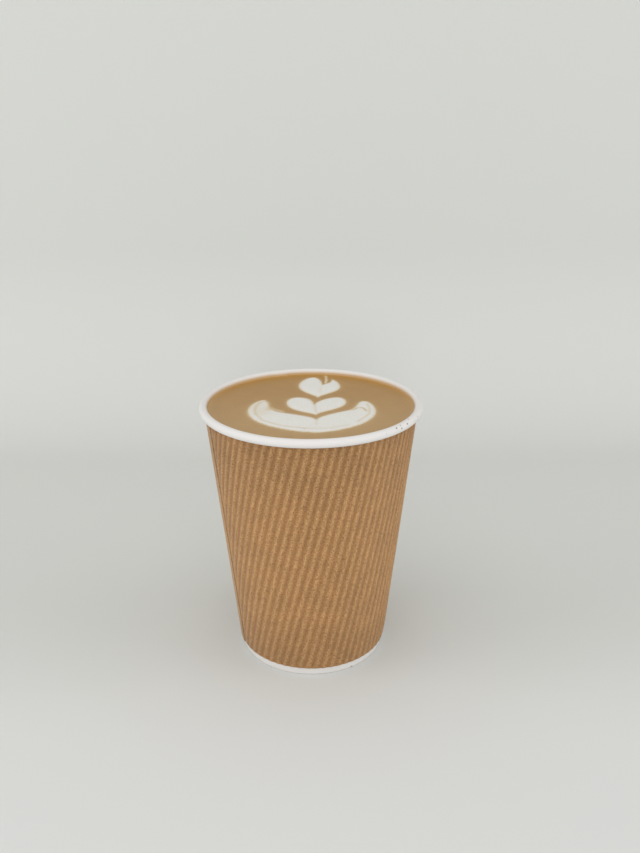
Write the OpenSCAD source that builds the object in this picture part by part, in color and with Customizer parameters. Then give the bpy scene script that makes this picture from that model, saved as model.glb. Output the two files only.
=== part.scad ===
// Paper coffee cup: a rolled board cup with a fluted kraft sleeve, filled with a milk coffee.
// Millimetres. The cup stands on z = 0 with its axis on Z, and its front faces -Y.

/* [Cup] */
// Height of the cup, from the table to the top of the rim
height = 110; // [80:1:140]
// Outer diameter of the rolled rim
rim_d = 90; // [80:1:100]
// Outer diameter of the cup at its foot
base_d = 61; // [50:1:70]
// Thickness of the coated board
board_t = 0.4; // [0.3:0.05:0.6]

/* [Rim] */
// Width of the rolled rim, from its inside to its outside
curl_w = 3.3; // [2.6:0.1:4.5]
// Height of the rolled rim
curl_h = 3.5; // [2.6:0.1:4.5]
// How far round the edge of the board is rolled, in degrees
curl_turn = 400; // [330:10:420]

/* [Side seam of the board] */
// Direction of the seam's free edge, seen from above, in degrees from +X
seam_at = 104; // [0:1:359]
// Width of the glued lap
seam_w = 9; // [5:0.5:14]

/* [Bottom] */
// Height of the bottom disc above the table
recess = 7.5; // [5:0.5:14]
// Height of the board that is folded up inside the foot
hem_h = 6; // [2:0.5:11]
// Radius of the bend between the disc and its skirt
bend_r = 0.7; // [0.5:0.1:1.5]
// Room between layers of board
layer_gap = 0.05; // [0.02:0.01:0.1]

/* [Sleeve] */
// Thickness of the kraft paper
kraft_t = 0.3; // [0.2:0.02:0.4]
// Distance from one flute to the next, square to them
flute_pitch = 3.14; // [2.8:0.02:6]
// Height of a flute, from valley to ridge
flute_depth = 0.5; // [0.2:0.02:1]
// Room between the flutes' valleys and the cup
sleeve_gap = 0.15; // [0.12:0.01:0.3]
// Height of the sleeve's lower edge above the table
sleeve_lift = 3.6; // [2:0.1:20]
// Room between the sleeve's upper edge and the rolled rim
sleeve_drop = 0.3; // [0.1:0.1:20]
// Direction of the edge of the sleeve's lap, in degrees from +X
lap_at = 202; // [180:1:240]
// Width of the sleeve's lap, half way up
lap_w = 9; // [5:0.5:14]
// Direction in which the flutes stand upright, in degrees from +X
upright_at = 30; // [0:0.5:60]
// Distance over which the flutes flatten towards the lap
flatten_w = 4; // [2:0.5:8]

/* [Drink] */
// Depth of the drink's surface below the top of the rim
fill_gap = 2.6; // [0.8:0.1:30]
// Thickness of the milk foam
foam_t = 2; // [0.5:0.1:5]
// Room between the foam figure and the wall of the cup at its nearest
figure_margin = 3.2; // [2:0.1:25]

/* [Hidden] */
$fn = 96;

// The wall's middle line leans out from the fold at the foot to the inside of the rolled rim
fold_step = board_t + layer_gap;
fold_z = board_t + layer_gap;
curl_a = (curl_w - board_t) / 2;
curl_b = (curl_h - board_t) / 2;
curl_r = rim_d / 2 - curl_w / 2;
curl_z = height - curl_h / 2;
foot_r = base_d / 2 - board_t / 2;
slope = (curl_r - curl_a - foot_r) / (curl_z - fold_z);
lean = atan(slope);
function wall_r(z) = foot_r + slope * (z - fold_z);
wall_half = board_t / 2 / cos(lean);

// A sheet that follows a path: its right side, then its left side backwards, each at its distance from the path
function unit(v) = v / norm(v);
function along(path, i) = unit(path[min(i + 1, len(path) - 1)] - path[max(i - 1, 0)]);
function left_of(d) = [-d[1], d[0]];
function side(path, w) = [for (i = [0 : len(path) - 1]) path[i] + w * left_of(along(path, i))];
function backwards(list) = [for (i = [len(list) - 1 : -1 : 0]) list[i]];
function sheet(path, right, left) = concat(side(path, -right), backwards(side(path, left)));

// The rolled rim: it starts up the inside, goes over the top and tucks its edge inside itself
curl_steps = 40;
tuck_from = 225;
tuck_step = (board_t + 2 * layer_gap) / curl_a;
function tuck(turn) = 1 - tuck_step * min(1, max(0, turn - tuck_from) / (360 - tuck_from));
function curl_point(turn) =
    [curl_r, curl_z] + tuck(turn) * [-curl_a * cos(turn), curl_b * sin(turn)];
function curl_path(turn) = [for (i = [0 : curl_steps]) curl_point(turn * i / curl_steps)];

// The fold at the foot: down the hem, across the flat that the cup stands on, and up the wall
fold_bend = board_t / 2 + layer_gap;
fold_steps = 3;
function quarter(centre, from) = [for (i = [0 : fold_steps])
    centre + fold_bend * [cos(from + 90 * i / fold_steps), sin(from + 90 * i / fold_steps)]];
fold_path = concat(
    [[wall_r(hem_h) - 2 * fold_step, hem_h]],
    quarter([foot_r - 2 * fold_step + fold_bend, fold_z], 180),
    quarter([foot_r - fold_bend, fold_z], 270)
);

// The side seam: the board's end lies on the inside of the wall, from above the disc's bend up into the rim. It
// starts in the middle of the wall, so that it is one solid with it.
seam_foot = recess + board_t + 2 * bend_r;
seam_turn = 40;
seam_inside = board_t / 2 + board_t;
seam_path = concat([[wall_r(seam_foot), seam_foot]], curl_path(seam_turn));
seam_angle = seam_w / wall_r(curl_z) * 180 / PI;

module cup_wall() {
    color("whitesmoke") {
        rotate_extrude() polygon(sheet(concat(fold_path, curl_path(curl_turn)), board_t / 2, board_t / 2));
        rotate([0, 0, seam_at])
            rotate_extrude(angle = seam_angle) polygon(sheet(seam_path, 0, seam_inside));
    }
}

// The bottom disc: flat, then bent down into a skirt that stands in the fold
disc_z = recess + board_t / 2;
bend_z = disc_z - bend_r;
bend_x = wall_r(bend_z) - fold_step - bend_r / cos(lean);
bend_steps = 6;
disc_path = concat(
    [[0, disc_z]],
    [for (i = [0 : bend_steps])
        [bend_x, bend_z] + bend_r * [sin((90 + lean) * i / bend_steps), cos((90 + lean) * i / bend_steps)]],
    [[foot_r - fold_step, fold_z]]
);

module bottom_disc() {
    color("ghostwhite") rotate_extrude() polygon(sheet(disc_path, board_t / 2, board_t / 2));
}

// The sleeve is cut flat as a fan. A point of the flat blank is [x, y] from the fan's centre, with y along the
// flutes, and lies on the cone at a slant length and a direction, some way out from the wall.
apex_z = fold_z - (foot_r + wall_half) / slope;
fan = sin(lean);
low_s = (sleeve_lift - apex_z) / cos(lean);
high_s = (height - curl_h - sleeve_drop - apex_z) / cos(lean);
lap = lap_w * 2 / (low_s + high_s) * 180 / PI;
left_g = (lap_at - 360 - upright_at) * fan;
right_g = (lap_at - upright_at) * fan - lap;
function blank(s, g) = s * [sin(g), cos(g)];
function slant(p) = norm(p);
function turn_of(p) = atan2(p[0], p[1]);

// How far out the middle of the paper lies: waved, and flat where the two ends lap
wave = flute_depth / 2;
under_out = sleeve_gap + kraft_t / 2;
over_out = under_out + kraft_t + layer_gap;
function ease(u) = u <= 0 ? 0 : u >= 1 ? 1 : u * u * (3 - 2 * u);
function waved(p) = under_out + wave + wave * cos(360 * p[0] / flute_pitch);
function blend(p, flat, inside) = flat + ease(inside / flatten_w) * (waved(p) - flat);
function out_of(p) = turn_of(p) < (left_g + right_g) / 2
    ? blend(p, under_out, slant(p) * sin(turn_of(p) - left_g))
    : blend(p, over_out, slant(p) * sin(right_g - turn_of(p)));
function rolled(p, shift) =
    let (a = upright_at + turn_of(p) / fan, out = out_of(p) + shift, r = slant(p) * fan + out * cos(lean))
    [r * cos(a), r * sin(a), apex_z + slant(p) * cos(lean) - out * fan];

// Lines along the flutes, four to a flute, each cut where it leaves the blank
flute_step = flute_pitch / 4;
rows = 7;
first_line = ceil(high_s * sin(left_g) / flute_step) + 1;
last_line = floor(high_s * sin(right_g) / flute_step) - 1;
lines = last_line - first_line + 1;
function line_x(i) = (first_line + i) * flute_step;
function arc_y(x, s) = sqrt(s * s - x * x);
function edge_y(x) = x / tan(x < 0 ? left_g : right_g);
function on_edge(x) = x < low_s * sin(left_g) || x > low_s * sin(right_g);
function line_low(x) = on_edge(x) ? edge_y(x) : arc_y(x, low_s);
function line_point(i, j) =
    let (x = line_x(i), low = line_low(x)) [x, low + (arc_y(x, high_s) - low) * j / rows];
left_lines = len([for (i = [0 : lines - 1]) if (line_x(i) < low_s * sin(left_g)) i]);
right_lines = len([for (i = [0 : lines - 1]) if (line_x(i) > low_s * sin(right_g)) i]);

// The blank's points: the lines, the four corners of the waved part, and the columns of the two flat laps
lap_cols = 3;
function left_row(r) = r == 0 ? low_s : r > left_lines ? high_s
    : slant(line_point(left_lines - r, 0));
function right_row(r) = r == 0 ? low_s : r > right_lines ? high_s
    : slant(line_point(lines - right_lines - 1 + r, 0));
waved_points = [for (i = [0 : lines - 1]) for (j = [0 : rows]) line_point(i, j)];
corner_points = [blank(low_s, left_g), blank(high_s, left_g), blank(low_s, right_g), blank(high_s, right_g)];
left_points = [for (r = [0 : left_lines + 1]) for (k = [1 : lap_cols])
    blank(left_row(r), left_g - lap * k / lap_cols)];
right_points = [for (r = [0 : right_lines + 1]) for (k = [1 : lap_cols])
    blank(right_row(r), right_g + lap * k / lap_cols)];
flat_points = concat(waved_points, corner_points, left_points, right_points);

// The number of each point in that list
corners_at = len(waved_points);
left_at = corners_at + len(corner_points);
right_at = left_at + len(left_points);
function grid(i, j) = i * (rows + 1) + j;
function left_id(r, k) = k > 0 ? left_at + r * lap_cols + k - 1
    : r == 0 ? corners_at : r > left_lines ? corners_at + 1 : grid(left_lines - r, 0);
function right_id(r, k) = k > 0 ? right_at + r * lap_cols + k - 1
    : r == 0 ? corners_at + 2 : r > right_lines ? corners_at + 3 : grid(lines - right_lines - 1 + r, 0);
function quad(a, b, c, d) = [[a, b, c], [a, c, d]];
flat_faces = concat(
    [for (i = [0 : lines - 2]) for (j = [0 : rows - 1])
        each quad(grid(i, j), grid(i + 1, j), grid(i + 1, j + 1), grid(i, j + 1))],
    [[grid(left_lines - 1, 0), corners_at, grid(left_lines, 0)]],
    [[grid(lines - right_lines - 1, 0), corners_at + 2, grid(lines - right_lines, 0)]],
    [for (j = [0 : rows - 1]) [corners_at + 1, grid(0, j), grid(0, j + 1)]],
    [for (j = [0 : rows - 1]) [grid(lines - 1, j), corners_at + 3, grid(lines - 1, j + 1)]],
    [for (r = [0 : left_lines]) for (k = [0 : lap_cols - 1])
        each quad(left_id(r, k + 1), left_id(r, k), left_id(r + 1, k), left_id(r + 1, k + 1))],
    [for (r = [0 : right_lines]) for (k = [0 : lap_cols - 1])
        each quad(right_id(r, k), right_id(r, k + 1), right_id(r + 1, k + 1), right_id(r + 1, k))]
);
rim_loop = concat(
    [for (k = [lap_cols : -1 : 0]) left_id(0, k)],
    [for (i = [left_lines : lines - right_lines - 1]) grid(i, 0)],
    [for (k = [0 : lap_cols]) right_id(0, k)],
    [for (r = [1 : right_lines + 1]) right_id(r, lap_cols)],
    [for (k = [lap_cols - 1 : -1 : 0]) right_id(right_lines + 1, k)],
    [for (i = [lines - 1 : -1 : 0]) grid(i, rows)],
    [for (k = [0 : lap_cols]) left_id(left_lines + 1, k)],
    [for (r = [left_lines : -1 : 1]) left_id(r, lap_cols)]
);

module ripple_sleeve() {
    n = len(flat_points);
    outer = [for (p = flat_points) rolled(p, kraft_t / 2)];
    inner = [for (p = flat_points) rolled(p, -kraft_t / 2)];
    loop = len(rim_loop);
    edges = [for (i = [0 : loop - 1]) each quad(
        rim_loop[i], rim_loop[(i + 1) % loop], rim_loop[(i + 1) % loop] + n, rim_loop[i] + n)];
    color("peru") polyhedron(concat(outer, inner), concat(
        [for (f = flat_faces) [f[0], f[2], f[1]]],
        [for (f = flat_faces) [f[0] + n, f[1] + n, f[2] + n]],
        edges
    ));
}

// The foam figure: closed outlines of cubic curves, each given as corner, first handle, second handle
curve_steps = 8;
function cubic(a, b, c, d, u) =
    pow(1 - u, 3) * a + 3 * pow(1 - u, 2) * u * b + 3 * (1 - u) * u * u * c + pow(u, 3) * d;
function outline(arcs) = [for (i = [0 : len(arcs) - 1]) for (k = [0 : curve_steps - 1])
    cubic(arcs[i][0], arcs[i][1], arcs[i][2], arcs[(i + 1) % len(arcs)][0], k / curve_steps)];
top_heart = [
    [[3.0, 10.0], [2.4, 13.1], [-5.3, 17.3]],
    [[-5.3, 26.2], [-5.3, 32.2], [-1.9, 38.3]],
    [[1.2, 38.3], [3.8, 38.4], [4.4, 33.1]],
    [[5.6, 28.4], [7.5, 29.6], [8.7, 32.1]],
    [[9.5, 35.5], [11.3, 33.3], [12.8, 29.5]],
    [[12.8, 24.8], [12.8, 17.4], [4.2, 14.5]]
];
middle_heart = [
    [[2.0, -11.0], [0.6, -8.1], [-9.9, -6.6]],
    [[-10.0, 4.0], [-10.0, 8.5], [-7.9, 10.7]],
    [[-5.7, 10.8], [-1.4, 10.8], [0.8, 7.8]],
    [[1.4, 1.9], [2.4, 6.1], [7.1, 10.6]],
    [[10.8, 10.6], [13.2, 10.6], [14.5, 8.1]],
    [[14.5, 4.8], [14.5, -4.3], [3.5, -6.1]]
];
bowl = [
    [[2.1, -30.1], [-11.3, -28.8], [-25.3, -19.0]],
    [[-25.3, -5.5], [-25.3, 1.6], [-22.2, 7.6]],
    [[-19.1, 7.6], [-17.1, 7.6], [-17.3, -4.6]],
    [[-12.8, -6.9], [-8.1, -9.2], [0.6, -12.2]],
    [[2.1, -15.7], [3.3, -11.8], [10.2, -7.9]],
    [[14.6, -5.6], [18.9, -3.1], [18.5, 5.6]],
    [[21.5, 5.6], [24.4, 5.6], [25.9, -0.4]],
    [[25.9, -5.9], [25.9, -18.5], [14.1, -28.6]]
];
figure_reach = max([for (arcs = [top_heart, middle_heart, bowl]) for (p = outline(arcs)) norm(p)]);

// The drink's surface and its radius at a height
surface_z = height - fill_gap;
foam_z = surface_z - foam_t;
function drink_r(z) = wall_r(z) - wall_half - layer_gap;

module figure() {
    scale((drink_r(surface_z) - figure_margin) / figure_reach) {
        polygon(outline(top_heart));
        polygon(outline(middle_heart));
        polygon(outline(bowl));
    }
}

module milk_foam() {
    color("seashell") translate([0, 0, foam_z]) linear_extrude(foam_t) figure();
}

// The drink fills the cup from the bottom disc up, beside the seam and with a pocket for the foam
drink_z = disc_z + board_t / 2 + layer_gap;
seam_room = layer_gap / wall_r(curl_z) * 180 / PI;
seam_cut = [
    [drink_r(seam_foot) - board_t, seam_foot - layer_gap], [rim_d / 2, seam_foot - layer_gap],
    [rim_d / 2, height], [drink_r(height) - board_t, height]
];

module coffee() {
    color("rosybrown") difference() {
        rotate_extrude() polygon([
            [0, drink_z], [drink_r(drink_z), drink_z], [drink_r(surface_z), surface_z], [0, surface_z]
        ]);
        rotate([0, 0, seam_at - seam_room])
            rotate_extrude(angle = seam_angle + 2 * seam_room) polygon(seam_cut);
        translate([0, 0, foam_z]) linear_extrude(height - foam_z) figure();
    }
}

cup_wall();
bottom_disc();
ripple_sleeve();
coffee();
milk_foam();
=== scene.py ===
"""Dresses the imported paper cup: its board, fluted sleeve and milk coffee, with their materials and a plain studio."""
from math import atan, cos, radians, sin

import bpy
import bmesh
import numpy as np
from bpy.props import FloatProperty, FloatVectorProperty, PointerProperty
from bpy.types import Operator, Panel, PropertyGroup
from mathutils import Matrix, Vector
from mathutils.geometry import delaunay_2d_cdt


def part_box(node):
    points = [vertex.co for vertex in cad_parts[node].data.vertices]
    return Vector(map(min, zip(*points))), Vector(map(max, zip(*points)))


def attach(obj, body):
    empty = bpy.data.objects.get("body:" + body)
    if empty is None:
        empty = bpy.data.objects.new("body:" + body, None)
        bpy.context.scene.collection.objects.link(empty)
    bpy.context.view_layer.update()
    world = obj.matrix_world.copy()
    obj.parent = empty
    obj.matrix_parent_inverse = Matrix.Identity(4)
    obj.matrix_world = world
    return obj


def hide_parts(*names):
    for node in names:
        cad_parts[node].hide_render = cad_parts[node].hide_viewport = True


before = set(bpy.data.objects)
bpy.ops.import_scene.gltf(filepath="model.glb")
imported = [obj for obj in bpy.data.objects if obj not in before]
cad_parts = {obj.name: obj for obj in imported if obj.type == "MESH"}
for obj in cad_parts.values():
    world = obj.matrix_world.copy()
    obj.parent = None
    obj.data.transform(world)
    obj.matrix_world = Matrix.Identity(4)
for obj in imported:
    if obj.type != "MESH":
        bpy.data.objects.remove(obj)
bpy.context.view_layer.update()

bl_info = {
    "name": "Paper Coffee Cup",
    "version": (1, 0, 0),
    "blender": (4, 5, 0),
    "location": "3D View > Sidebar > Paper Cup",
    "description": "Builds the looks of a fluted paper cup of milk coffee round its packed solids",
    "category": "Object",
}

MM = 0.001


def linear(code):
    """The linear RGB of an sRGB hex colour."""
    shares = [int(code[i:i + 2], 16) / 255 for i in (0, 2, 4)]
    return [c / 12.92 if c <= 0.04045 else ((c + 0.055) / 1.055) ** 2.4 for c in shares]


def length(name, description, default):
    """A size in metres."""
    return FloatProperty(name=name, description=description, default=default, min=0, unit="LENGTH", precision=5)


def angle(name, description, default):
    """A direction or turn, given in degrees and held in radians."""
    return FloatProperty(name=name, description=description, default=radians(default), unit="ROTATION")


def tint(name, description, code):
    """A colour that can be picked, given as sRGB hex."""
    return FloatVectorProperty(name=name, description=description, default=linear(code), min=0, max=1,
                               subtype="COLOR", size=3)


class CupSizes(PropertyGroup):
    """Sizes of the board cup, with its rolled rim, side seam and folded foot"""
    height: length("Height", "From the table to the top of the rim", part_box("cup_wall")[1].z)
    rim: length("Rim", "Outer diameter of the rolled rim", 2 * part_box("cup_wall")[1].x)
    foot: length("Foot", "Outer diameter of the foot", 61 * MM)
    board: length("Board", "Thickness of the coated board", 0.4 * MM)
    layer_gap: length("Layer gap", "Room between layers of board", 0.05 * MM)
    curl_width: length("Roll width", "Width of the rolled rim", 3.3 * MM)
    curl_height: length("Roll height", "Height of the rolled rim", 3.5 * MM)
    curl_turn: angle("Roll turn", "How far round the edge of the board is rolled", 400)
    hem: length("Hem", "Height of the board folded up inside the foot", 6 * MM)
    seam_at: angle("Seam direction", "Where the free edge of the side seam lies, from +X", 104)
    seam_width: length("Seam width", "Width of the glued lap", 9 * MM)
    seam_merge: length("Seam merge", "How far the far side of the lap takes to settle into the wall", 4 * MM)
    seam_foot: length("Seam foot", "Height at which the lap starts inside the cup", 9.3 * MM)


class SleeveSizes(PropertyGroup):
    """Sizes of the fluted sleeve"""
    paper: length("Paper", "Thickness of the kraft paper", 0.3 * MM)
    pitch: length("Flute pitch", "From one flute to the next, square to them", 3.14 * MM)
    depth: length("Flute depth", "From valley to ridge", 0.5 * MM)
    wall_gap: length("Wall gap", "Room between the valleys and the cup", 0.15 * MM)
    lift: length("Lower edge", "Height of the sleeve's lower edge", 3.6 * MM)
    drop: length("Upper gap", "From the sleeve's upper edge to the rolled rim", 0.3 * MM)
    lap_at: angle("Lap direction", "Where the free edge of the sleeve's lap lies, from +X", 202)
    lap_width: length("Lap width", "Width of the lap, half way up", 9 * MM)
    upright_at: angle("Upright flutes", "Direction in which the flutes stand upright, from +X", 30)
    flatten: length("Flattening", "Distance over which the flutes flatten towards the lap", 4 * MM)


class DrinkSizes(PropertyGroup):
    """Sizes of the coffee and of the foam figure on it"""
    surface: length("Surface", "Height of the drink's surface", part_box("milk_foam")[1].z)
    foam_foot: length("Foam foot", "Height of the underside of the foam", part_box("milk_foam")[0].z)
    base: length("Base", "Height of the bottom of the drink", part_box("coffee")[0].z)
    margin: length("Figure margin", "From the wall to the foam figure at its nearest", 3.2 * MM)
    climb: length("Climb", "How far the drink climbs the wall", 0.4 * MM)
    climb_reach: length("Climb reach", "How far from the wall the climb dies away", 0.9 * MM)
    relief: length("Foam relief", "How far the foam stands above the drink", 0.25 * MM)


class Finishes(PropertyGroup):
    """Colours of the cup, the drink and the studio"""
    board: tint("Board", "Coated white board", "DBD8D5")
    board_film: tint("Film on the board", "Board seen through a thin film of the drink", "BF9C6B")
    board_speck: tint("Specks", "Ground coffee on the rim", "6E675F")
    # Painted light and shade on the flutes: the ridges are painted lighter and the valleys darker.
    kraft_lit_ridge: tint("Kraft ridge", "Kraft paper on the ridges", "C49966")
    kraft_shaded_valley: tint("Kraft valley", "Kraft paper in the valleys", "A47749")
    kraft_fibre: tint("Kraft fibre", "Dark fibres in the kraft paper", "7E5730")
    coffee: tint("Coffee", "Milk coffee", "A57A38")
    # Painted light: the drink is painted paler where it meets the wall, to lift the wall's shade.
    coffee_lit_edge: tint("Coffee edge", "The drink where it thins against the wall", "C29B66")
    cream: tint("Cream", "Where foam and coffee mix", "CDB893")
    foam: tint("Foam", "Steamed milk", "DDDBD5")
    studio: tint("Studio floor", "Background paper under and before the cup", "D4D5D3")
    # Painted shade: the paper behind the cup is painted darker than before it, in place of the shade that falls there.
    studio_painted_shade: tint("Studio backdrop", "Background paper behind the cup", "CDCECA")
    surroundings: tint("Surroundings", "What shows past the backdrop and in reflections", "D4D6D2")


class StudioSizes(PropertyGroup):
    """Sizes of the studio, its soft light and where the camera stands"""
    wall_y: length("Backdrop", "How far behind the cup the backdrop stands", 0.32)
    sweep: length("Sweep", "Radius of the sweep from floor to backdrop", 0.12)
    half_width: length("Half width", "Half the width of floor and backdrop", 1.6)
    front: length("Front", "How far the floor comes forward", 1.6)
    top: length("Top", "Height of the backdrop", 1.2)
    eye_back: length("Camera distance", "How far in front of the cup's axis the camera stands", 0.3269)
    eye_up: length("Camera height", "How high the camera stands", 0.22209)
    eye_turn: angle("Camera turn", "How far the camera looks to its right", 0.640)
    eye_down: angle("Camera tilt", "How far the camera looks down", 20.713)
    eye_roll: angle("Camera roll", "How far the camera leans to its left", -0.146)
    lens: FloatProperty(name="Lens", description="Focal length of the camera", default=36.16, min=1, unit="CAMERA")
    ambient: FloatProperty(name="Ambient light", description="Strength of the light from all round", default=0.69,
                           min=0)


class PaperCup(PropertyGroup):
    """Everything that can be changed on the cup"""
    cup: PointerProperty(type=CupSizes)
    sleeve: PointerProperty(type=SleeveSizes)
    drink: PointerProperty(type=DrinkSizes)
    finish: PointerProperty(type=Finishes)
    studio: PointerProperty(type=StudioSizes)


# Shapes

def ease(u):
    """0 to 1 with a soft start and end."""
    u = np.clip(u, 0, 1)
    return u * u * (3 - 2 * u)


class CupForm:
    """The lines that the cup's pieces share."""

    # Distance over which the coating rounds off the free edge of the lap
    EDGE_RISE = 0.6 * MM

    def __init__(self, cup):
        self.cup = cup
        self.step = cup.board + cup.layer_gap
        self.curl_a = (cup.curl_width - cup.board) / 2
        self.curl_b = (cup.curl_height - cup.board) / 2
        self.curl_r = (cup.rim - cup.curl_width) / 2
        self.curl_z = cup.height - cup.curl_height / 2
        self.foot_r = (cup.foot - cup.board) / 2
        self.slope = (self.curl_r - self.curl_a - self.foot_r) / (self.curl_z - self.step)
        self.lean = atan(self.slope)
        self.half = cup.board / 2 / cos(self.lean)

    def wall_r(self, z):
        """Radius of the middle of the wall."""
        return self.foot_r + self.slope * (z - self.step)

    def curl(self, turn):
        """Points of the middle of the rolled rim, which tucks its edge inside itself."""
        tuck_from, tuck_to = radians(225), radians(360)
        tuck_depth = (self.cup.board + 2 * self.cup.layer_gap) / self.curl_a
        tuck = 1 - tuck_depth * np.clip((turn - tuck_from) / (tuck_to - tuck_from), 0, 1)
        return np.stack([self.curl_r - tuck * self.curl_a * np.cos(turn),
                         self.curl_z + tuck * self.curl_b * np.sin(turn)], -1)

    def inside_r(self, z):
        """Radius of the inner face of the cup, up to the top of the roll."""
        turn = np.arcsin(np.clip((z - self.curl_z) / self.curl_b, 0, 1))
        rolled = self.curl_r - self.curl_a * np.cos(turn) - self.half
        return np.where(z < self.curl_z, self.wall_r(z) - self.half, rolled)

    def lap(self, around):
        """How far the board's lap stands in from the wall, as a share, in each direction."""
        top_r = self.wall_r(self.curl_z)
        width, merge = self.cup.seam_width / top_r, self.cup.seam_merge / top_r
        crisp = self.EDGE_RISE / top_r
        past = np.mod(around - self.cup.seam_at + np.pi, 2 * np.pi) - np.pi
        return ease(past / crisp) * (1 - ease((past - width + merge) / merge))

    def around(self):
        """The directions of the mesh's columns, a degree apart and closer together at the edge of the lap."""
        even = np.radians(np.arange(0, 360, 1.0))
        at_edge = self.cup.seam_at + np.linspace(-0.1, 0.7, 9) * MM / self.curl_r
        # Directions that agree to six places are one column.
        return np.unique(np.round(np.concatenate([even, at_edge]), 6))


def make_mesh(name, points, faces, material, attributes=None, crease=radians(40)):
    """An object of that mesh, smooth but for its sharp edges, with its normals outward."""
    mesh = bpy.data.meshes.new(name)
    mesh.from_pydata(np.asarray(points).tolist(), [], [list(f) for f in faces])
    for key, values in (attributes or {}).items():
        mesh.attributes.new(key, "FLOAT", "POINT").data.foreach_set("value", np.asarray(values, np.float32))
    shell = bmesh.new()
    shell.from_mesh(mesh)
    bmesh.ops.recalc_face_normals(shell, faces=shell.faces)
    shell.to_mesh(mesh)
    shell.free()
    mesh.shade_smooth()
    mesh.set_sharp_from_angle(angle=crease)
    mesh.materials.append(material)
    piece = bpy.data.objects.new(name, mesh)
    bpy.context.scene.collection.objects.link(piece)
    return piece


def seat(piece, node):
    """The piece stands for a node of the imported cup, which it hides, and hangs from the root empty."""
    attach(piece, "root")
    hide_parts(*node)


def grid_quads(rows, cols, close_rows, close_cols):
    """Quads between the points of a grid that is numbered row by row."""
    i, j = np.meshgrid(np.arange(rows if close_rows else rows - 1), np.arange(cols if close_cols else cols - 1),
                       indexing="ij")
    i2, j2 = (i + 1) % rows, (j + 1) % cols
    return np.stack([i * cols + j, i * cols + j2, i2 * cols + j2, i2 * cols + j], -1).reshape(-1, 4)


def board_wall(form):
    """Points, quads and profile of the board: hem, fold, wall and rolled rim in one sheet."""
    cup = form.cup
    bend = cup.board / 2 + cup.layer_gap
    quarter = np.radians(np.linspace(0, 90, 7))

    def bent(r, start):
        """A quarter turn of the fold, about its middle at that radius."""
        return np.stack([r + bend * np.cos(start + quarter), form.step + bend * np.sin(start + quarter)], -1)

    # The sheet runs from the hem down and through the fold, up the wall and round the roll.
    hem_x = form.foot_r - 2 * form.step
    hem = [[form.wall_r(cup.hem) - 2 * form.step, cup.hem]]
    above_fold, lap_start = 3 * MM, 0.03 * MM
    heights = np.concatenate([
        [above_fold, cup.seam_foot - lap_start, cup.seam_foot + lap_start],
        np.linspace(0.3, 0.9, 4) * cup.height,
        np.linspace(0.95 * cup.height, form.curl_z, 11)[:-1]])
    wall = np.stack([form.wall_r(heights), heights], -1)
    turns = np.linspace(0, cup.curl_turn, 61)
    path = np.concatenate([hem, bent(hem_x + bend, np.pi), bent(form.foot_r - bend, 1.5 * np.pi), wall,
                           form.curl(turns)])
    ahead = np.concatenate([path[1:], path[-1:]]) - np.concatenate([path[:1], path[:-1]])
    ahead /= np.linalg.norm(ahead, axis=1)[:, None]
    left = np.stack([-ahead[:, 1], ahead[:, 0]], -1)
    # The lap shows inside the cup and is pressed flat before the top of the roll.
    pressed_flat = radians(60)
    lapped = np.where(path[:, 1] > cup.seam_foot, 1.0, 0.0)
    lapped[-len(turns):] = 1 - ease(turns / pressed_flat)

    around = form.around()
    lap = form.lap(around)
    inner = cup.board / 2 + lapped[:, None] * lap[None, :] * cup.board
    profile_in = path[:, None, :] + inner[..., None] * left[:, None, :]
    profile_out = np.broadcast_to((path - cup.board / 2 * left)[:, None, :], profile_in.shape)
    profile = np.concatenate([profile_out, profile_in[::-1]])
    # A rolled rim is never quite round: its top tenth is a hair narrower here and there.
    pinch = 0.05 * MM * (1 + np.sin(2 * around + 0.8) * 0.6 + np.sin(5 * around + 2.1) * 0.4)
    radius = profile[..., 0] - pinch * ease((profile[..., 1] - 0.9 * cup.height) / (0.06 * cup.height))
    points = np.stack([radius * np.cos(around), radius * np.sin(around), profile[..., 1]], -1)
    rows, cols = profile.shape[:2]
    return points.reshape(-1, 3), grid_quads(rows, cols, True, True), profile


def film_share(form, drink, profile):
    """How much of the drink's film lies on the board: most at the drink's edge, none near the top of the roll."""
    past_top, inner_side = 0.2 * MM, 0.8 * MM
    full_up_to, fades_over = 0.55 * MM, 1.8 * MM
    starts_below, starts_over = 2 * MM, 1 * MM
    inside = ease((form.curl_r + past_top - profile[..., 0]) / inner_side)
    above = profile[..., 1] - drink.surface
    fade = (1 - ease((above - full_up_to) / fades_over)) * ease((above + starts_below) / starts_over)
    return (inside * fade).ravel()


def free_edges(faces):
    """The directed edges that only one face has."""
    corners = faces.shape[1]
    pairs = np.concatenate([faces[:, [k, (k + 1) % corners]] for k in range(corners)])
    back = set(map(tuple, pairs[:, ::-1].tolist()))
    return np.array([p for p in pairs.tolist() if tuple(p) not in back])


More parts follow.
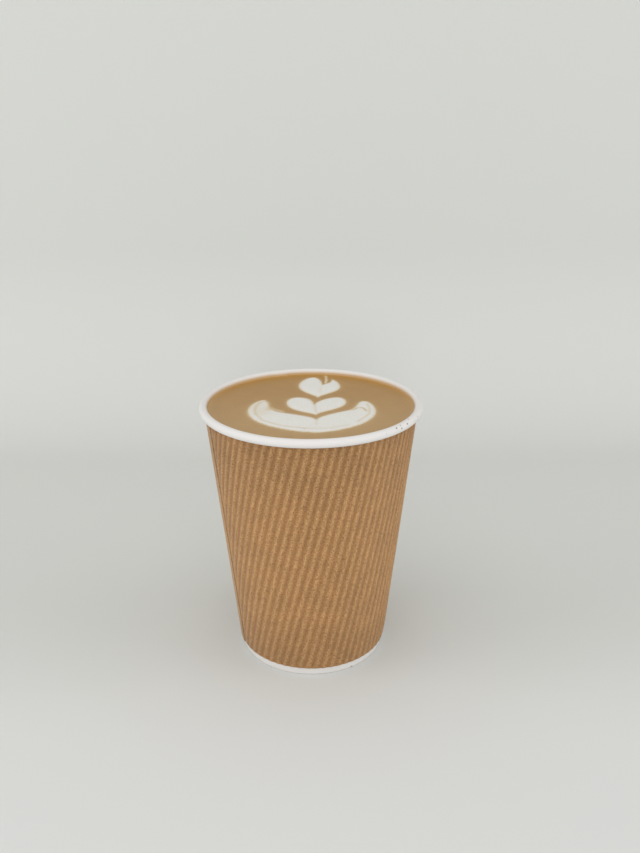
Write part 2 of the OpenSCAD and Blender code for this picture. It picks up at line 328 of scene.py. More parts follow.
def sleeve_blank(pitch, low, high, left, right, lap):
    """Points and quads of the sleeve's flat fan, whose flutes run along its y, with a plain lap at each end.

    The fan lies between the slants low and high from its point, and between the turns left and right.
    """
    lines_a_flute, rows, lap_cols = 14, 20, 5
    corner = 0.02 * MM

    # Lines along the flutes; those near the laps start on the slanting end of the waved part.
    spacing = pitch / lines_a_flute
    first, last = high * sin(left) + corner, high * sin(right) - corner
    lines = np.arange(np.ceil(first / spacing), np.floor(last / spacing) + 1) * spacing
    low_left, low_right = low * sin(left), low * sin(right)
    lines = lines[(abs(lines - low_left) > spacing / 3) & (abs(lines - low_right) > spacing / 3)]
    lines = np.sort(np.concatenate([lines, [first, last, low_left, low_right]]))
    on_arc = np.sqrt(low ** 2 - np.clip(lines, low_left, low_right) ** 2)
    on_right = np.where(lines > low_right, lines / np.tan(right), on_arc)
    start = np.where(lines < low_left, lines / np.tan(left), on_right)
    end = np.sqrt(high ** 2 - lines ** 2)
    share = np.linspace(0, 1, rows + 1)
    flat_y = start[:, None] + (end - start)[:, None] * share
    flat = np.stack([np.broadcast_to(lines[:, None], flat_y.shape), flat_y], -1).reshape(-1, 2)
    number = np.arange(len(flat)).reshape(flat_y.shape)
    faces = grid_quads(len(lines), rows + 1, False, False).tolist()

    # The laps share the waved part's end points.
    same = 1e-12
    left_edge = np.concatenate([number[lines <= low_left + same, 0][::-1], number[0, 1:]])
    right_edge = np.concatenate([number[lines >= low_right - same, 0], number[-1, 1:]])
    for edge, away in ((left_edge, -lap), (right_edge, lap)):
        slant = np.linalg.norm(flat[edge], axis=1)
        turn = np.arctan2(flat[edge][:, 0], flat[edge][:, 1])
        steps = np.arange(1, lap_cols + 1) / lap_cols
        turns = turn[:, None] + away * steps
        extra = np.stack([slant[:, None] * np.sin(turns), slant[:, None] * np.cos(turns)], -1).reshape(-1, 2)
        ids = np.concatenate([edge[:, None], len(flat) + np.arange(len(extra)).reshape(-1, lap_cols)], 1)
        flat = np.concatenate([flat, extra])
        faces += ids.ravel()[grid_quads(len(edge), lap_cols + 1, False, False)].tolist()
    return flat, np.array(faces)


def fluted_sleeve(form, sleeve):
    """Points, faces and share of painted ridge light of the kraft sleeve, fluted as a flat fan and rolled round the
    cup.
    """
    cup = form.cup
    apex = form.step - (form.foot_r + form.half) / form.slope
    fan = sin(form.lean)
    low = (sleeve.lift - apex) / cos(form.lean)
    high = (cup.height - cup.curl_height - sleeve.drop - apex) / cos(form.lean)
    lap = sleeve.lap_width * 2 / (low + high)
    left = (sleeve.lap_at - 2 * np.pi - sleeve.upright_at) * fan
    right = (sleeve.lap_at - sleeve.upright_at) * fan - lap
    flat, faces = sleeve_blank(sleeve.pitch, low, high, left, right, lap)

    x, slant = flat[:, 0], np.linalg.norm(flat, axis=1)
    turn = np.arctan2(flat[:, 0], flat[:, 1])
    under = sleeve.wall_gap + sleeve.paper / 2
    over = under + sleeve.paper + cup.layer_gap
    crest = np.cos(2 * np.pi * x / sleeve.pitch)
    # Each flute is pressed a little deeper or shallower than the next.
    press = 1 - 0.08 * (1 + np.sin(x / (7.3 * MM)) * np.sin(x / (2.9 * MM) + slant / (31 * MM)))
    # The knife presses the flutes flatter along the lower edge.
    knife_reach, knife_press = 4 * MM, 0.6
    squash = 1 - knife_press * (1 - ease((slant - low) / knife_reach))
    waved = under + squash * sleeve.depth / 2 * (1 + press * crest)
    from_left, from_right = slant * np.sin(turn - left), slant * np.sin(right - turn)
    is_left = turn < (left + right) / 2
    level = np.where(is_left, under, over)
    wave_share = ease(np.where(is_left, from_left, from_right) / sleeve.flatten)
    out = level + wave_share * (waved - level)
    around = sleeve.upright_at + turn / fan
    sheets = []
    for shift in (sleeve.paper / 2, -sleeve.paper / 2):
        r = slant * fan + (out + shift) * cos(form.lean)
        sheets.append(np.stack([r * np.cos(around), r * np.sin(around),
                                apex + slant * cos(form.lean) - (out + shift) * fan], -1))
    count = len(flat)
    edge = free_edges(faces)
    sides = np.stack([edge[:, 1], edge[:, 0], edge[:, 0] + count, edge[:, 1] + count], -1)
    all_faces = np.concatenate([faces, faces[:, ::-1] + count, sides])

    # A flute's share runs from 0 in a valley, painted darker as painted shade, to 1 on a ridge, painted lighter as
    # painted light, and a flat lap has most of a ridge's paleness. This painted contrast grows towards the upper edge.
    flat_share, mean_share = 0.8, 0.5
    painted_ridge_contrast = 0.8 + 0.25 * (slant - low) / (high - low)
    crest_light_share = flat_share - (flat_share - mean_share) * wave_share + 0.5 * painted_ridge_contrast * crest * wave_share
    return np.concatenate(sheets), all_faces, {"crest": np.tile(np.clip(crest_light_share, 0, 1), 2)}


# The foam figure, in millimetres on the drink: closed outlines of cubic arcs, each as corner, handle, handle
TOP_HEART = [
    [(3.0, 10.0), (2.4, 13.1), (-5.3, 17.3)], [(-5.3, 26.2), (-5.3, 32.2), (-1.9, 38.3)],
    [(1.2, 38.3), (3.8, 38.4), (4.4, 33.1)], [(5.6, 28.4), (7.5, 29.6), (8.7, 32.1)],
    [(9.5, 35.5), (11.3, 33.3), (12.8, 29.5)], [(12.8, 24.8), (12.8, 17.4), (4.2, 14.5)],
]
MIDDLE_HEART = [
    [(2.0, -11.0), (0.6, -8.1), (-9.9, -6.6)], [(-10.0, 4.0), (-10.0, 8.5), (-7.9, 10.7)],
    [(-5.7, 10.8), (-1.4, 10.8), (0.8, 7.8)], [(1.4, 1.9), (2.4, 6.1), (7.1, 10.6)],
    [(10.8, 10.6), (13.2, 10.6), (14.5, 8.1)], [(14.5, 4.8), (14.5, -4.3), (3.5, -6.1)],
]
BOWL = [
    [(2.1, -30.1), (-11.3, -28.8), (-25.3, -19.0)], [(-25.3, -5.5), (-25.3, 1.6), (-22.2, 7.6)],
    [(-19.1, 7.6), (-17.1, 7.6), (-17.3, -4.6)], [(-12.8, -6.9), (-8.1, -9.2), (0.6, -12.2)],
    [(2.1, -15.7), (3.3, -11.8), (10.2, -7.9)], [(14.6, -5.6), (18.9, -3.1), (18.5, 5.6)],
    [(21.5, 5.6), (24.4, 5.6), (25.9, -0.4)], [(25.9, -5.9), (25.9, -18.5), (14.1, -28.6)],
]
# Lines of coffee folded into the foam: how much coffee, how wide, and the line itself
FOLDS = [
    (0.75, 0.45, [(5.1, 27.5), (5.5, 31.0), (5.7, 35.1), (6.2, 38.2)]),
    (0.60, 0.40, [(8.2, 30.5), (8.6, 33.6), (8.3, 36.1)]),
    (0.70, 0.45, [(16.5, -5.7), (18.4, -3.4), (20.4, -2.8), (21.2, -3.9), (21.9, -6.7)]),
    (0.35, 0.55, [(-18.6, 5.9), (-20.6, 4.0), (-22.0, 0.2), (-22.4, -5.0), (-21.6, -10.0)]),
    (0.40, 1.60, [(-16.1, 0.3), (-16.7, -4.2)]),
    (0.34, 0.50, [(22.8, 1.6), (23.5, -3.5), (22.8, -10.6), (18.1, -18.8)]),
    (0.32, 0.50, [(-21.6, -10.0), (-18.8, -16.8), (-11.3, -22.9), (-2.2, -25.6)]),
    (0.22, 0.50, [(1.4, 1.9), (1.8, -3.6), (2.0, -7.7)]),
    (0.18, 0.50, [(2.1, -15.9), (2.2, -22.0)]),
    (0.12, 0.50, [(5.4, 28.0), (4.4, 21.9), (3.8, 16.8)]),
    (0.16, 3.20, [(-22.0, 3.5), (-21.5, -3.0), (-19.5, -8.5)]),
    (0.14, 0.90, [(-2.2, -25.7), (6.0, -26.0), (14.0, -22.5)]),
]
# Wisps of foam left in the coffee, in the same way
WISPS = [
    (0.75, 0.50, [(6.4, 30.0), (6.9, 34.1), (6.7, 39.7)]),
    (0.40, 1.00, [(-18.0, 5.0), (-17.1, -0.4), (-14.6, -4.4), (-11.6, -6.4)]),
]


def arcs(outline, steps=20):
    """Points of a closed outline of cubic arcs, in metres."""
    u = (np.arange(steps) / steps)[:, None]
    points = []
    for k, (a, b, c) in enumerate(outline):
        a, b, c, d = (np.array(p, float) for p in (a, b, c, outline[(k + 1) % len(outline)][0]))
        points.append((1 - u) ** 3 * a + 3 * (1 - u) ** 2 * u * b + 3 * (1 - u) * u * u * c + u ** 3 * d)
    return np.concatenate(points) * MM


def line_distance(points, line, closed):
    """Distance of each point from a line of points."""
    a = line if closed else line[:-1]
    b = np.roll(line, -1, 0) if closed else line[1:]
    best = np.full(len(points), np.inf)
    for p, q in zip(a, b):
        d = q - p
        t = np.clip((points - p) @ d / max(d @ d, 1e-18), 0, 1)
        best = np.minimum(best, np.linalg.norm(points - p - t[:, None] * d, axis=1))
    return best


def figure(form, drink):
    """The foam figure's scale, which leaves the margin to the wall, and its three outlines."""
    outlines = [arcs(o) for o in (TOP_HEART, MIDDLE_HEART, BOWL)]
    reach = max(np.linalg.norm(o, axis=1).max() for o in outlines)
    scale = (form.wall_r(drink.surface) - form.half - form.cup.layer_gap - drink.margin) / reach
    return scale, [o * scale for o in outlines]


def brim_radii(form, drink):
    """The radius of the drink's brim in each of the mesh's directions."""
    brim = drink.surface + drink.climb
    clearance = 0.02 * MM
    return form.inside_r(np.array(brim)) - clearance - form.lap(form.around()) * form.cup.board


def surface_triangles(form, outlines, edge_r):
    """Flat points and triangles of the drink's surface, with the foam's triangles marked."""
    around = form.around()
    rings = np.array([0, 0.15, 0.35, 0.6, 0.9, 1.3, 1.8, 2.4, 3.1]) * MM
    ring_points = np.concatenate([
        np.stack([(edge_r - d) * np.cos(around), (edge_r - d) * np.sin(around)], -1) for d in rings])

    # A field of even triangles, whose rows lie closer together than their points
    spacing, row_step = 0.7 * MM, 0.866
    count = int(np.ceil(edge_r.max() / spacing)) + 1
    i, j = np.meshgrid(np.arange(-count, count + 1), np.arange(-count * 1.2, count * 1.2 + 1), indexing="ij")
    field = np.stack([(i + 0.5 * (j % 2)) * spacing, j * spacing * row_step], -1).reshape(-1, 2)
    field = field[np.linalg.norm(field, axis=1) < edge_r.min() - rings[-1] - 0.4 * spacing]
    to_outline = np.min([line_distance(field, o, True) for o in outlines], axis=0)
    bands = [field[to_outline > 0.85 * MM]]

    # Lines of points on both sides of each outline, where the foam thins into the coffee
    for o in outlines:
        ahead = np.roll(o, -1, 0) - np.roll(o, 1, 0)
        ahead /= np.linalg.norm(ahead, axis=1)[:, None]
        side = np.stack([-ahead[:, 1], ahead[:, 0]], -1)
        for away in (-0.6, -0.3, 0.3, 0.6):
            band = o + away * MM * side
            near = np.min([line_distance(band, other, True) for other in outlines], axis=0)
            bands.append(band[near > 0.9 * abs(away) * MM])
    points = np.concatenate([ring_points] + outlines + bands)
    loops, start = [list(range(len(around)))], len(ring_points)
    for o in outlines:
        loops.append(list(range(start + len(o) - 1, start - 1, -1)))
        start += len(o)
    flat, _, faces, _, _, came_from = delaunay_2d_cdt([Vector(p) for p in points], [], loops, 1, 1e-7)
    return np.array([tuple(p) for p in flat]), np.array(faces), np.array([any(k > 0 for k in ids) for ids in came_from])


def line_share(points, line, width, scale):
    """How near each point is to a line of the figure: 1 on it, fading over its width."""
    near = line_distance(points, np.array(line) * MM * scale, False)
    return np.exp(-(near / (width * MM)) ** 2)


def milk_share(flat, depth, scale):
    """How much milk each point of the surface holds, from the depth that it lies inside the figure."""
    milk = 0.7 * ease((depth / MM + 0.2) / 0.5) + 0.3 * ease((depth / MM - 0.3) / 1.0)
    # A halo of milk spreads into the coffee round the figure.
    milk = np.maximum(milk, 0.16 * np.exp(np.minimum(depth, 0) / (0.7 * MM)))
    for strength, width, line in WISPS:
        milk = np.maximum(milk, strength * line_share(flat, line, width, scale))
    for strength, width, line in FOLDS:
        milk = milk * (1 - strength * line_share(flat, line, width, scale))
    # The coffee is paler towards the front.
    back, reach = 30 * MM, 64 * MM
    poured = 0.12 * ease((back - flat[:, 1]) / reach)
    return poured + (1 - poured) * milk


def drink_surface(form, drink):
    """The drink's surface: points, triangles, which are foam, and each point's milk, height and painted light at the
    wall.
    """
    scale, outlines = figure(form, drink)
    around, edge_r = form.around(), brim_radii(form, drink)
    flat, faces, is_foam = surface_triangles(form, outlines, edge_r)

    inside = np.zeros(len(flat), bool)
    inside[np.unique(faces[is_foam])] = True
    away = np.min([line_distance(flat, o, True) for o in outlines], axis=0)
    depth = np.where(inside, away, -away)
    milk = milk_share(flat, depth, scale)

    edge_there = np.interp(np.arctan2(flat[:, 1], flat[:, 0]) % (2 * np.pi), around, edge_r, period=2 * np.pi)
    to_wall = np.maximum(edge_there - np.linalg.norm(flat, axis=1), 0)
    # Painted light: the thin share paints the drink paler near the wall, fading away from it.
    crown, edge_light_reach = 1.6 * MM, 1.4 * MM
    height = drink.surface + drink.climb * np.exp(-to_wall / drink.climb_reach)
    height = height + drink.relief * ease(np.maximum(depth, 0) / crown) * np.clip(milk, 0, 1)
    return flat, faces, is_foam, milk, height, 0.5 * np.exp(-to_wall / edge_light_reach)


def foam_solid(drink, flat, faces, is_foam, milk, height):
    """The foam's patches: the tops of the figure, their sides and their undersides."""
    used = np.unique(faces[is_foam])
    new = np.full(len(flat), -1)
    new[used] = np.arange(len(used))
    top = new[faces[is_foam]]
    count = len(used)
    points = np.concatenate([np.column_stack([flat[used], height[used]]),
                             np.column_stack([flat[used], np.full(count, drink.foam_foot)])])
    sides = [[b, a, a + count, b + count] for a, b in free_edges(top).tolist()]
    return points, top.tolist() + (top[:, ::-1] + count).tolist() + sides, np.tile(milk[used], 2)


def coffee_solid(form, drink, flat, faces, is_foam, milk, height, thin):
    """The drink: its surface, a pocket for the foam, its side against the wall and its bottom."""
    count = len(flat)
    pocket_used = np.unique(faces[is_foam])
    pocket_new = np.full(count, -1)
    pocket_new[pocket_used] = count + np.arange(len(pocket_used))
    pocket = pocket_new[faces[is_foam]]
    walls = [[a, b, pocket_new[b], pocket_new[a]] for a, b in free_edges(faces[is_foam]).tolist()]
    points = [np.column_stack([flat, height]),
              np.column_stack([flat[pocket_used], np.full(len(pocket_used), drink.foam_foot)])]

    # The side hangs from the brim's own points and steps in where the board's lap starts.
    around, edge_r = form.around(), brim_radii(form, drink)
    cols = len(around)
    brim = np.stack([edge_r * np.cos(around), edge_r * np.sin(around)], -1)
    ids, start = [np.array([np.argmin(np.abs(flat - p).sum(1)) for p in brim])], count + len(pocket_used)
    below_brim = 1.5 * MM
    for z in (drink.surface - below_brim, form.cup.seam_foot, drink.base):
        r = form.inside_r(np.array(z)) - form.cup.layer_gap - form.lap(around) * form.cup.board
        points.append(np.stack([r * np.cos(around), r * np.sin(around), np.full(cols, z)], -1))
        ids.append(start + np.arange(cols))
        start += cols
    bottom = [ids[-1].tolist()]
    sides = np.concatenate(ids)[grid_quads(len(ids), cols, False, True)]
    all_faces = faces[~is_foam].tolist() + pocket.tolist() + walls + sides.tolist() + bottom
    points = np.concatenate(points)
    # The thin share is painted light near the wall.
    shares = {"milk": np.zeros(len(points)), "thin": np.zeros(len(points))}
    shares["milk"][:count], shares["thin"][:count] = milk, thin
    return points, all_faces, shares


# Materials

def add(tree, kind, settings, links=()):
    """A node with its settings, by property or by socket, and the sockets that feed it."""
    node = tree.nodes.new(kind)
    for key, value in settings.items():
        if isinstance(key, str) and hasattr(node, key):
            setattr(node, key, value)
        else:
            node.inputs[key].default_value = value
    for key, source in dict(links).items():
        tree.links.new(source, node.inputs[key])
    return node


def new_material(name):
    """An empty material and its node tree."""
    material = bpy.data.materials.new(name)
    material.use_nodes = True
    material.node_tree.nodes.clear()
    return material, material.node_tree


def colour(value):
    """A colour with full alpha."""
    return (*value, 1)


# Specks of ground coffee on the rolled rim: direction from +X and turn over the roll, in degrees, radius in
# millimetres, darkness
SPECKS = [
    (-35.9, 145, 0.34, 1.00), (-41.3, 120, 0.26, 0.80), (-44.8, 135, 0.38, 0.85), (-41.3, 163, 0.32, 0.95),
    (-32.2, 96, 0.28, 0.60), (-23.5, 149, 0.24, 0.60), (-52.1, 162, 0.22, 0.40),
]
# A dark mark on the foot, listed the same way, with the height in millimetres in place of the turn
FOOT_SPECKS = [(-57.7, 0.2, 0.42, 1.00)]


def speck_share(tree, place, form):
    """Where the specks lie on the board, as a share."""
    spots = []
    for around, turn, size, dark in SPECKS:
        out_of_board = form.cup.board / 2 * np.array([-cos(radians(turn)), sin(radians(turn))])
        r, z = form.curl(np.radians(turn)) + out_of_board
        spots.append((around, r, z, size, dark))
    for around, height, size, dark in FOOT_SPECKS:
        spots.append((around, form.cup.foot / 2, height * MM, size, dark))
    share = None
    for around, r, z, size, dark in spots:
        spot = (r * cos(radians(around)), r * sin(radians(around)), z)
        away = add(tree, "ShaderNodeVectorMath", {"operation": "DISTANCE", 1: spot}, {0: place})
        # A speck fades out over the outer part of its radius.
        mark = add(tree, "ShaderNodeMapRange",
                   {"From Min": 1.3 * size * MM, "From Max": 0.7 * size * MM, "To Max": dark},
                   {"Value": away.outputs["Value"]}).outputs["Result"]
        if share is None:
            share = mark
        else:
            share = add(tree, "ShaderNodeMath", {"operation": "MAXIMUM"}, {0: share, 1: mark}).outputs[0]
    return share


def coated_board(finish, form):
    """Bleached board coated with polyethylene, rolled and heat sealed: white, satin, with a faint mottle."""
    material, tree = new_material("coated_board")
    place = add(tree, "ShaderNodeTexCoord", {}).outputs["Object"]
    # The pulp lies in clouds about 9 mm wide.
    mottle = add(tree, "ShaderNodeTexNoise", {"Scale": 1 / (9 * MM), "Detail": 3}, {"Vector": place})
    deeper = [0.965 * c for c in finish.board]
    tone = add(tree, "ShaderNodeMix", {"data_type": "RGBA", 6: colour(deeper), 7: colour(finish.board)},
               {0: mottle.outputs["Fac"]})
    film = add(tree, "ShaderNodeAttribute", {"attribute_name": "film"})
    wet = add(tree, "ShaderNodeMix", {"data_type": "RGBA", 7: colour(finish.board_film)},
              {0: film.outputs["Fac"], 6: tone.outputs[2]})
    specked = add(tree, "ShaderNodeMix", {"data_type": "RGBA", 7: colour(finish.board_speck)},
                  {0: speck_share(tree, place, form), 6: wet.outputs[2]})
    # The coating's own ripple is about 0.1 mm wide, too fine to show, so it is drawn 0.5 mm wide.
    ripple = add(tree, "ShaderNodeTexNoise", {"Scale": 1 / (0.5 * MM), "Detail": 2}, {"Vector": place})
    bump = add(tree, "ShaderNodeBump", {"Strength": 0.12, "Distance": 0.03 * MM}, {"Height": ripple.outputs["Fac"]})
    skin = add(tree, "ShaderNodeBsdfPrincipled", {"Roughness": 0.7, "IOR": 1.4},
               {"Base Color": specked.outputs[2], "Normal": bump.outputs["Normal"]})
    add(tree, "ShaderNodeOutputMaterial", {}, {"Surface": skin.outputs["BSDF"]})
    return material


def kraft_paper(finish):
    """Unbleached kraft paper, pressed into flutes: matt brown with visible fibres, painted lighter on the ridges and
    darker in the valleys as painted light and shade.
    """
    material, tree = new_material("kraft_paper")
    place = add(tree, "ShaderNodeTexCoord", {}).outputs["Object"]
    # Painted light and shade: the crest share paints the ridges lighter and the valleys darker.
    crest = add(tree, "ShaderNodeAttribute", {"attribute_name": "crest"})
    narrow = add(tree, "ShaderNodeMath", {"operation": "POWER", 1: 1.2}, {0: crest.outputs["Fac"]})
    tone = add(tree, "ShaderNodeMix",
               {"data_type": "RGBA", 6: colour(finish.kraft_shaded_valley), 7: colour(finish.kraft_lit_ridge)},
               {0: narrow.outputs[0]})
    # Fibres are about 0.03 mm wide, too fine to show, so clumps of them are drawn 0.55 mm wide.
    fibres = add(tree, "ShaderNodeTexNoise", {"Scale": 1 / (0.55 * MM), "Detail": 3, "Roughness": 0.7},
                 {"Vector": place})
    clumps = add(tree, "ShaderNodeMapRange", {"From Min": 0.42, "From Max": 0.68}, {"Value": fibres.outputs["Fac"]})
    flecked = add(tree, "ShaderNodeMix", {"data_type": "RGBA", 7: colour(finish.kraft_fibre)},
                  {0: clumps.outputs["Result"], 6: tone.outputs[2]})
    # Painted shade: the paper is painted darker towards its two cut edges, where the rim above and the floor below
    # shade it.
    height = add(tree, "ShaderNodeSeparateXYZ", {}, {0: place}).outputs["Z"]
    edge_shade_ramps = [
        add(tree, "ShaderNodeMapRange", {"From Min": edge, "From Max": clear, "interpolation_type": "SMOOTHSTEP"},
            {"Value": height}).outputs["Result"]
        for edge, clear in ((106 * MM, 70 * MM), (0.0, 35 * MM))]
    middle = add(tree, "ShaderNodeMath", {"operation": "MINIMUM"}, {0: edge_shade_ramps[0], 1: edge_shade_ramps[1]})
    painted_edge_shade = add(tree, "ShaderNodeMapRange", {"To Min": 0.87}, {"Value": middle.outputs[0]})
    # Handling leaves patches about 9 mm wide.
    patches = add(tree, "ShaderNodeTexNoise", {"Scale": 1 / (9 * MM), "Detail": 2}, {"Vector": place})
    uneven = add(tree, "ShaderNodeMapRange", {"From Min": 0.35, "From Max": 0.65, "To Min": 0.94, "To Max": 1.05},
                 {"Value": patches.outputs["Fac"]})
    # The painted edge shade, times the handling patches.
    edge_shade_and_patches = add(tree, "ShaderNodeMath", {"operation": "MULTIPLY"},
                {0: painted_edge_shade.outputs["Result"], 1: uneven.outputs["Result"]})
    shaded = add(tree, "ShaderNodeMix", {"data_type": "RGBA", "blend_type": "MULTIPLY", 0: 1.0},
                 {6: flecked.outputs[2], 7: edge_shade_and_patches.outputs[0]})
    bump = add(tree, "ShaderNodeBump", {"Strength": 0.35, "Distance": 0.06 * MM}, {"Height": fibres.outputs["Fac"]})
    # Loose fibres stand up from the paper and make it paler where it turns away.
    skin = add(tree, "ShaderNodeBsdfPrincipled",
               {"Roughness": 0.85, "IOR": 1.45, "Sheen Weight": 0.12, "Sheen Roughness": 0.5},
               {"Base Color": shaded.outputs[2], "Normal": bump.outputs["Normal"]})
    add(tree, "ShaderNodeOutputMaterial", {}, {"Surface": skin.outputs["BSDF"]})
    return material


def drink_material(name, finish, roughness):
    """Milk coffee or steamed milk, by the share of milk: wet, with slow drifts of colour and fine bubbles."""
    material, tree = new_material(name)
    place = add(tree, "ShaderNodeTexCoord", {}).outputs["Object"]
    # The coffee's colour drifts in swirls about 6 mm wide.
    drift = add(tree, "ShaderNodeTexNoise", {"Scale": 1 / (6 * MM), "Detail": 3, "Distortion": 0.8},
                {"Vector": place})
    dark, pale = ([share * c for c in finish.coffee] for share in (0.87, 1.03))
    coffee = add(tree, "ShaderNodeMix", {"data_type": "RGBA", 6: colour(dark), 7: colour(pale)},
                 {0: drift.outputs["Fac"]})
    # Painted light: the thin share paints the drink paler against the wall.
    thin = add(tree, "ShaderNodeAttribute", {"attribute_name": "thin"})
    lit_at_wall = add(tree, "ShaderNodeMix", {"data_type": "RGBA", 7: colour(finish.coffee_lit_edge)},
                {0: thin.outputs["Fac"], 6: coffee.outputs[2]})
    # Half milk is cream, and all milk is foam.
    milk = add(tree, "ShaderNodeAttribute", {"attribute_name": "milk"})
    low = add(tree, "ShaderNodeMapRange", {"From Max": 0.5}, {"Value": milk.outputs["Fac"]})
    high = add(tree, "ShaderNodeMapRange", {"From Min": 0.5}, {"Value": milk.outputs["Fac"]})
    creamy = add(tree, "ShaderNodeMix", {"data_type": "RGBA", 7: colour(finish.cream)},
                 {0: low.outputs["Result"], 6: lit_at_wall.outputs[2]})
    whole = add(tree, "ShaderNodeMix", {"data_type": "RGBA", 7: colour(finish.foam)},
                {0: high.outputs["Result"], 6: creamy.outputs[2]})
    # Bubbles are about 0.1 mm wide, too fine to show, so they are drawn 0.5 mm wide.
    bubbles = add(tree, "ShaderNodeTexNoise", {"Scale": 1 / (0.5 * MM), "Detail": 2}, {"Vector": place})
    froth = add(tree, "ShaderNodeMapRange", {"From Min": 0.3, "From Max": 0.7, "To Min": 0.94, "To Max": 1.05},
                {"Value": bubbles.outputs["Fac"]})
    bubbly = add(tree, "ShaderNodeMix", {"data_type": "RGBA", "blend_type": "MULTIPLY", 0: 1.0},
                 {6: whole.outputs[2], 7: froth.outputs["Result"]})
    bump = add(tree, "ShaderNodeBump", {"Strength": 0.2, "Distance": 0.02 * MM}, {"Height": bubbles.outputs["Fac"]})
    skin = add(tree, "ShaderNodeBsdfPrincipled", {"Roughness": roughness, "IOR": 1.34},
               {"Base Color": bubbly.outputs[2], "Normal": bump.outputs["Normal"]})
    add(tree, "ShaderNodeOutputMaterial", {}, {"Surface": skin.outputs["BSDF"]})
    return material


def studio_paper(finish):
    """A roll of matt background paper: pale grey, slightly warm, painted a little darker behind the cup than before it
    as painted shade.
    """
    material, tree = new_material("background_paper")
    place = add(tree, "ShaderNodeTexCoord", {}).outputs["Object"]
    depth = add(tree, "ShaderNodeSeparateXYZ", {}, {0: place}).outputs["Y"]
    # Painted shade: darker behind the cup, paler before it.
    ahead = add(tree, "ShaderNodeMapRange",
                {"From Min": 10 * MM, "From Max": -80 * MM, "interpolation_type": "SMOOTHSTEP"}, {"Value": depth})
    tone = add(tree, "ShaderNodeMix", {"data_type": "RGBA", 6: colour(finish.studio_painted_shade), 7: colour(finish.studio)},
               {0: ahead.outputs["Result"]})
    skin = add(tree, "ShaderNodeBsdfPrincipled", {"Roughness": 0.9, "IOR": 1.45}, {"Base Color": tone.outputs[2]})
    add(tree, "ShaderNodeOutputMaterial", {}, {"Surface": skin.outputs["BSDF"]})
    return material


# The studio

# Softboxes: name, place and side in metres, power in watts
SOFTBOXES = [
    ("softbox_above", (-0.1, -0.55, 0.95), 0.9, 2.2),
    ("softbox_front", (0.0, -1.1, 0.35), 0.25, 2.8),
    ("softbox_left", (-0.95, -0.2, 0.35), 0.6, 2.3),
    ("softbox_right", (0.95, -0.2, 0.35), 0.6, 2.0),
]
SOFTBOX_AIM = (0, 0, 0.05)


def backdrop(studio):
    """Points and quads of the floor, the sweep and the backdrop, in one sheet."""
    bend = np.radians(np.linspace(0, 90, 17))
    sweep = np.stack([studio.wall_y - studio.sweep + studio.sweep * np.sin(bend),
                      studio.sweep * (1 - np.cos(bend))], -1)
    line = np.concatenate([[[-studio.front, 0]], sweep, [[studio.wall_y, studio.top]]])
    points = [(x, y, z) for y, z in line for x in (-studio.half_width, studio.half_width)]
    return points, [(2 * k, 2 * k + 1, 2 * k + 3, 2 * k + 2) for k in range(len(line) - 1)]


def light_studio(scene, ambient, surroundings):
    """Even light from all round, in which the camera and reflections see the surroundings, and the softboxes."""
    world = bpy.data.worlds.new("studio_light")
    scene.world = world
    world.use_nodes = True
    tree = world.node_tree
    tree.nodes.clear()
    ray = add(tree, "ShaderNodeLightPath", {})
    seen = ray.outputs["Is Camera Ray"]
    for kind in ("Is Glossy Ray", "Is Transmission Ray"):
        seen = add(tree, "ShaderNodeMath", {"operation": "MAXIMUM"}, {0: seen, 1: ray.outputs[kind]}).outputs[0]
    light = add(tree, "ShaderNodeBackground", {"Color": (1, 1, 1, 1), "Strength": ambient})
    pale = add(tree, "ShaderNodeBackground", {"Color": colour(surroundings), "Strength": 1})
    both = add(tree, "ShaderNodeMixShader", {}, {0: seen, 1: light.outputs[0], 2: pale.outputs[0]})
    add(tree, "ShaderNodeOutputWorld", {}, {"Surface": both.outputs[0]})

    for name, place, side, power in SOFTBOXES:
        lamp = bpy.data.lights.new(name, "AREA")
        lamp.shape, lamp.size, lamp.energy = "SQUARE", side, power
        softbox = bpy.data.objects.new(name, lamp)
        turn = (Vector(place) - Vector(SOFTBOX_AIM)).to_track_quat("Z", "Y")
        softbox.matrix_world = Matrix.Translation(place) @ turn.to_matrix().to_4x4()
        scene.collection.objects.link(softbox)


def stand_camera(scene, studio):
    """The camera in front of the cup, looking down at it."""
    eye = bpy.data.cameras.new("camera")
    eye.lens = studio.lens
    camera = bpy.data.objects.new("camera", eye)
    camera.matrix_world = Matrix.Translation((0, -studio.eye_back, studio.eye_up)) @ \
        Matrix.Rotation(-studio.eye_turn, 4, "Z") @ \
        Matrix.Rotation(radians(90) - studio.eye_down, 4, "X") @ Matrix.Rotation(studio.eye_roll, 4, "Z")
    scene.collection.objects.link(camera)
    scene.camera = camera


# Operators

class PAPERCUP_OT_wall(Operator):
    """Build the board wall with its rolled rim, side seam and folded foot, and finish the bottom disc"""
    bl_idname = "paper_cup.wall"
    bl_label = "Board Cup"

    def execute(self, context):
        paper_cup = context.scene.paper_cup
        form = CupForm(paper_cup.cup)
        board = coated_board(paper_cup.finish, form)
        points, faces, profile = board_wall(form)
        film = film_share(form, paper_cup.drink, profile)
        seat(make_mesh("board_wall", points, faces, board, {"film": film}), ["cup_wall"])
        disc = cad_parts["bottom_disc"]
        disc.data.materials.clear()
        disc.data.materials.append(board)
        return {"FINISHED"}


class PAPERCUP_OT_sleeve(Operator):
    """Build the fluted kraft sleeve with its flattened lap"""
    bl_idname = "paper_cup.sleeve"
    bl_label = "Fluted Sleeve"

    def execute(self, context):
        paper_cup = context.scene.paper_cup
        points, faces, shares = fluted_sleeve(CupForm(paper_cup.cup), paper_cup.sleeve)
        piece = make_mesh("kraft_sleeve", points, faces, kraft_paper(paper_cup.finish), shares)
        seat(piece, ["ripple_sleeve"])
        return {"FINISHED"}


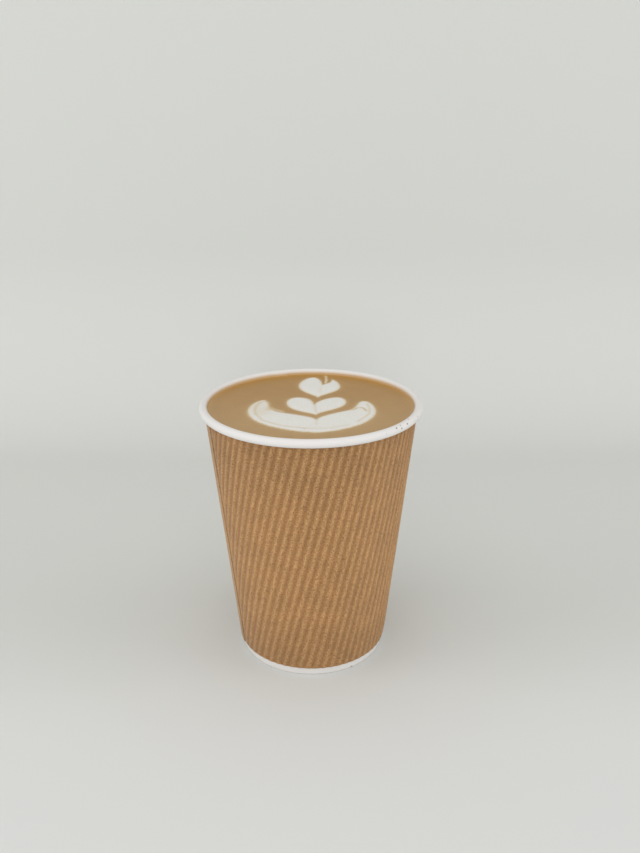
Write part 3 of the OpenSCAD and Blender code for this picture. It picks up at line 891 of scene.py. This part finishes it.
class PAPERCUP_OT_coffee(Operator):
    """Build the coffee, which climbs the wall a little and leaves room for the foam"""
    bl_idname = "paper_cup.coffee"
    bl_label = "Coffee"

    def execute(self, context):
        paper_cup = context.scene.paper_cup
        form = CupForm(paper_cup.cup)
        points, faces, shares = coffee_solid(form, paper_cup.drink, *drink_surface(form, paper_cup.drink))
        liquid = drink_material("milk_coffee", paper_cup.finish, roughness=0.3)
        seat(make_mesh("coffee_drink", points, faces, liquid, shares), ["coffee"])
        return {"FINISHED"}


class PAPERCUP_OT_foam(Operator):
    """Build the poured foam figure of two hearts and a bowl"""
    bl_idname = "paper_cup.foam"
    bl_label = "Foam Figure"

    def execute(self, context):
        paper_cup = context.scene.paper_cup
        surface = drink_surface(CupForm(paper_cup.cup), paper_cup.drink)[:5]
        points, faces, milk = foam_solid(paper_cup.drink, *surface)
        froth = drink_material("steamed_milk", paper_cup.finish, roughness=0.5)
        seat(make_mesh("foam_figure", points, faces, froth, {"milk": milk}), ["milk_foam"])
        return {"FINISHED"}


class PAPERCUP_OT_studio(Operator):
    """Set up the floor, backdrop, soft light and camera"""
    bl_idname = "paper_cup.studio"
    bl_label = "Studio"

    def execute(self, context):
        scene, studio, finish = context.scene, context.scene.paper_cup.studio, context.scene.paper_cup.finish
        points, faces = backdrop(studio)
        paper = studio_paper(finish)
        make_mesh("backdrop", points, faces, paper, crease=radians(60))
        light_studio(scene, studio.ambient, finish.surroundings)
        stand_camera(scene, studio)
        scene.view_settings.view_transform = "Standard"
        return {"FINISHED"}


OPERATORS = (PAPERCUP_OT_wall, PAPERCUP_OT_sleeve, PAPERCUP_OT_coffee, PAPERCUP_OT_foam, PAPERCUP_OT_studio)


class PAPERCUP_PT_panel(Panel):
    """Lists the pieces of the cup"""
    bl_label = "Paper Cup"
    bl_idname = "PAPERCUP_PT_panel"
    bl_space_type = "VIEW_3D"
    bl_region_type = "UI"
    bl_category = "Paper Cup"

    def draw(self, context):
        for operator in OPERATORS:
            self.layout.operator(operator.bl_idname)
        for group in ("cup", "sleeve", "drink", "finish", "studio"):
            values = getattr(context.scene.paper_cup, group)
            column = self.layout.column(heading=group.capitalize())
            for key in values.__annotations__:
                column.prop(values, key)


CLASSES = (CupSizes, SleeveSizes, DrinkSizes, Finishes, StudioSizes, PaperCup, *OPERATORS, PAPERCUP_PT_panel)


def register():
    for each in CLASSES:
        bpy.utils.register_class(each)
    bpy.types.Scene.paper_cup = PointerProperty(type=PaperCup)


def unregister():
    del bpy.types.Scene.paper_cup
    for each in reversed(CLASSES):
        bpy.utils.unregister_class(each)


def main():
    register()
    bpy.ops.paper_cup.wall()
    bpy.ops.paper_cup.sleeve()
    bpy.ops.paper_cup.coffee()
    bpy.ops.paper_cup.foam()
    bpy.ops.paper_cup.studio()


if __name__ == "__main__":
    main()
